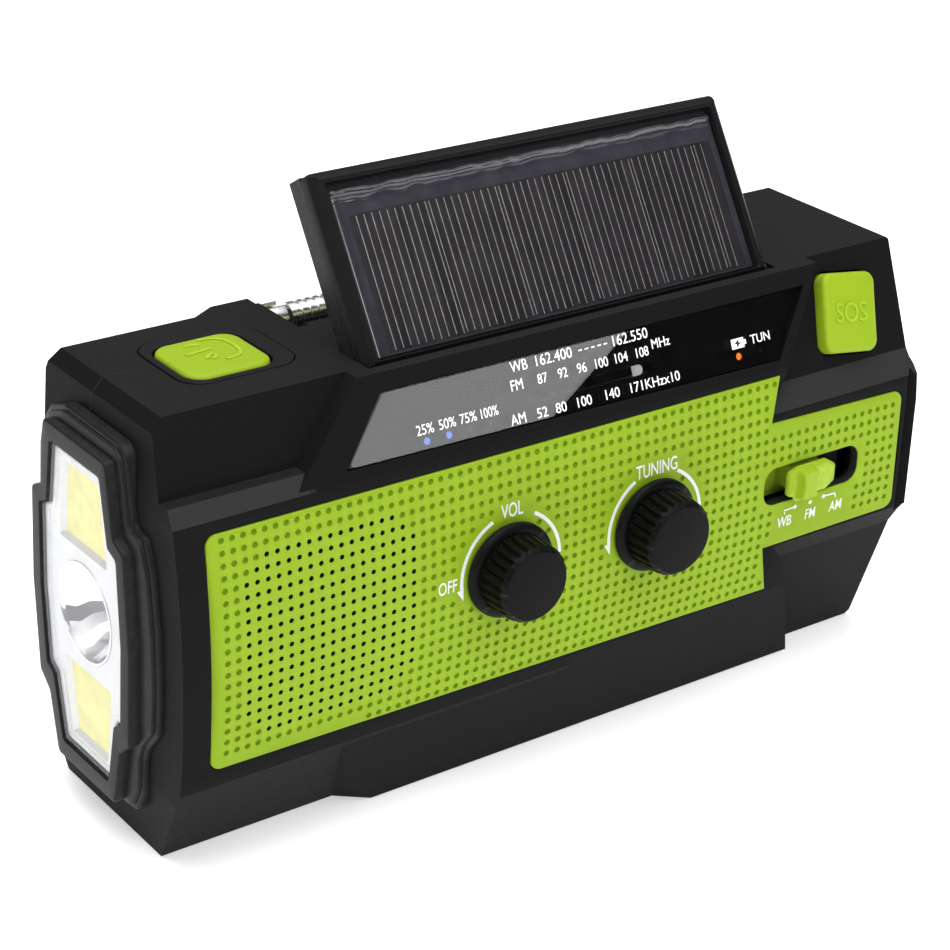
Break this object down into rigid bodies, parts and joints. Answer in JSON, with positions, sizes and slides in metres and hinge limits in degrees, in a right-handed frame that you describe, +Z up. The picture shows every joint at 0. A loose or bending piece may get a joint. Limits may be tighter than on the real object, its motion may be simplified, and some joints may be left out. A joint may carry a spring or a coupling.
{
  "type": "emergency radio",
  "caption": "Hand-crank emergency radio with folding solar lid, end lamp, tuning and volume knobs, band slide, alarm button, folding telescopic antenna and rear crank.",
  "frame": {"origin": "centre of the flat base, midway along the case between its two ends and midway between front and back bevels", "axes": "+X along the case from the lamp end to the slide-switch end, +Y to the back, +Z up"},
  "size_m": [0.1545, 0.0687, 0.1019],
  "materials": {
    "case_black": "fine matte texture",
    "bezel_black": "satin",
    "knob_black": "satin",
    "lime": "fine matte texture",
    "window": "high gloss, tinted",
    "dial_print": "printed",
    "white_mark": "white",
    "led_blue": "lit",
    "led_orange": "lit",
    "lens_clear": "clear",
    "reflector_white": "satin silver",
    "light_yellow": "phosphor",
    "cell_dark": "glossy",
    "chrome": "polished",
    "steel": "plain",
    "zinc": "plated can",
    "switch_black": "plain",
    "nylon": "plain",
    "board": "solder mask",
    "cell_wrap": "wrapped",
    "rubber": "soft",
    "ferrite": "sintered",
    "copper": "enamelled wire"
  },
  "bodies": {
    "case": {"front_shell": "case_black", "rear_shell": "case_black", "face_panel": "lime", "dial_window": "window", "dial_plate": "dial_print", "level_leds": "led_blue", "status_leds": "led_orange", "volume_control": "zinc", "tuning_capacitor": "nylon", "band_switch": "zinc", "sos_switch": "switch_black", "lamp_button_ring": "case_black", "lamp_switch": "switch_black", "lamp_bezel": "bezel_black", "lamp_lens": "lens_clear", "lamp_reflector": "reflector_white", "cob_strips": "light_yellow", "spot_bowl": "reflector_white", "spot_led": "light_yellow", "lamp_board": "board", "antenna_mount": "chrome", "dynamo_body": "zinc", "battery_cell": "cell_wrap", "port_board": "board", "main_board": "board", "speaker": "switch_black", "ferrite_rod": "ferrite", "ferrite_coil": "copper", "case_screws": "steel"},
    "pointer": {"dial_pointer": "white_mark"},
    "volume": {"volume_knob": "knob_black", "volume_shaft": "steel"},
    "tuning": {"tuning_knob": "knob_black", "tuning_shaft": "steel"},
    "band": {"band_slider": "lime"},
    "alarm": {"sos_button": "lime"},
    "lamp_key": {"lamp_button": "lime"},
    "lid": {"solar_frame": "bezel_black", "solar_back": "bezel_black", "solar_cell": "cell_dark", "solar_hinge_pins": "steel", "reading_lens": "lens_clear", "reading_leds": "light_yellow"},
    "ant_swivel": {"antenna_swivel": "chrome"},
    "ant_a": {"antenna_tube_a": "chrome"},
    "ant_b": {"antenna_tube_b": "chrome"},
    "ant_c": {"antenna_tube_c": "chrome", "antenna_tip": "chrome"},
    "crank": {"crank_spindle": "steel", "crank_arm": "case_black", "drive_gear": "nylon"},
    "grip": {"crank_grip": "knob_black"},
    "rotor": {"dynamo_rotor": "steel"},
    "door": {"battery_door": "case_black"},
    "flap": {"port_cover": "rubber"}
  },
  "joints": [
    {"name": "lid_hinge", "type": "hinge", "parent": "case", "child": "lid", "pos_m": [0.0058, -0.01359, 0.07455], "axis": [1, 0, 0], "range_deg": [-57.5, 0]},
    {"name": "volume_turn", "type": "hinge", "parent": "case", "child": "volume", "pos_m": [-0.0156, -0.0272, 0.0401], "axis": [0, -1, 0], "range_deg": [-130, 140]},
    {"name": "tuning_turn", "type": "hinge", "parent": "case", "child": "tuning", "pos_m": [0.0144, -0.0272, 0.0401], "axis": [0, -1, 0], "range_deg": [0, 270]},
    {"name": "pointer_travel", "type": "slide", "parent": "case", "child": "pointer", "axis": [1, 0, 0], "range_m": [-0.0222, 0]},
    {"name": "band_slide", "type": "slide", "parent": "case", "child": "band", "axis": [1, 0, 0], "range_m": [-0.0045, 0.0045]},
    {"name": "alarm_press", "type": "slide", "parent": "case", "child": "alarm", "axis": [0, 0.9326, -0.361], "range_m": [0, 0.0006], "stiffness_N_per_m": 400},
    {"name": "lamp_press", "type": "slide", "parent": "case", "child": "lamp_key", "axis": [0, 0, -1], "range_m": [0, 0.0007], "stiffness_N_per_m": 400},
    {"name": "antenna_turn", "type": "hinge", "parent": "case", "child": "ant_swivel", "pos_m": [-0.036, 0.0208, 0.0694], "axis": [1, 0, 0], "range_deg": [-90, 10]},
    {"name": "antenna_tilt", "type": "hinge", "parent": "ant_swivel", "child": "ant_a", "pos_m": [-0.031, 0.0208, 0.0694], "axis": [0, -1, 0], "range_deg": [0, 90]},
    {"name": "antenna_pull_b", "type": "slide", "parent": "ant_a", "child": "ant_b", "axis": [1, 0, 0], "range_m": [0, 0.055]},
    {"name": "antenna_pull_c", "type": "slide", "parent": "ant_b", "child": "ant_c", "axis": [1, 0, 0], "range_m": [0, 0.055]},
    {"name": "crank_spin", "type": "hinge", "parent": "case", "child": "crank", "pos_m": [0.038, 0.025, 0.038], "axis": [0, 1, 0], "continuous": true},
    {"name": "rotor_spin", "type": "hinge", "parent": "case", "child": "rotor", "pos_m": [0.0175, 0.005, 0.038], "axis": [0, 1, 0], "continuous": true},
    {"name": "grip_spin", "type": "hinge", "parent": "crank", "child": "grip", "pos_m": [0.004, 0.029, 0.038], "axis": [0, 1, 0], "continuous": true},
    {"name": "battery_door_off", "type": "slide", "parent": "case", "child": "door", "axis": [0, 1, 0], "range_m": [0, 0.012]},
    {"name": "port_flap", "type": "hinge", "parent": "case", "child": "flap", "pos_m": [0.0755, 0.011, 0.0309], "axis": [0, 1, 0], "range_deg": [0, 100]}
  ],
  "couplings": [
    {"joint": "pointer_travel", "follows": "tuning_turn", "m_per_rad": -0.0046},
    {"joint": "rotor_spin", "follows": "crank_spin", "ratio": -3.1}
  ]
}
